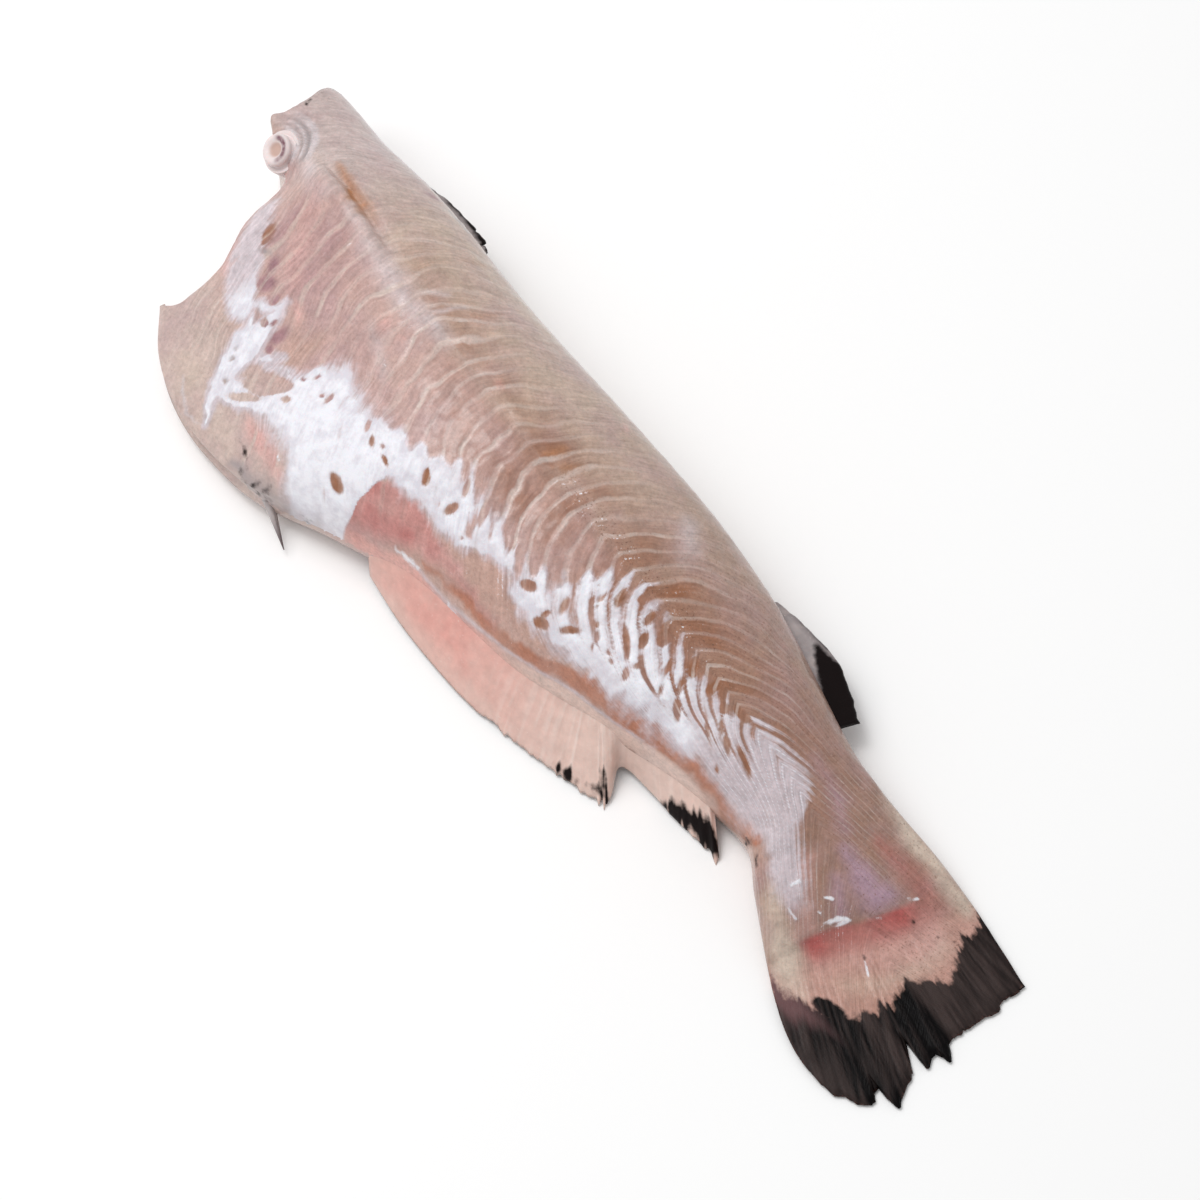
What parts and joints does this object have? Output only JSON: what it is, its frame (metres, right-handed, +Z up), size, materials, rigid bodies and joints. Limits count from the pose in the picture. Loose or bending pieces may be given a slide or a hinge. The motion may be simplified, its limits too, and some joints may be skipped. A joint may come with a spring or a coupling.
{
  "type": "dressed catfish",
  "caption": "Raw catfish, headed, gutted and skinned, lying on its side with bared muscle blocks, neck bone, belly flap, soft fins and a frayed dark tail.",
  "frame": {"origin": "bottom centre of the bounding box, on the table under the middle of the fish", "axes": "+X towards the tail, +Y towards the back of the fish, +Z up, out of the flank that shows"},
  "size_m": [0.3099, 0.0964, 0.0462],
  "materials": {
    "raw_fish_flesh": "wet raw fish flesh, beige pink with silver white membrane, rose red by the vent and black fin rims"
  },
  "bodies": {
    "root": {"dressed_catfish": "raw_fish_flesh"}
  },
  "joints": []
}
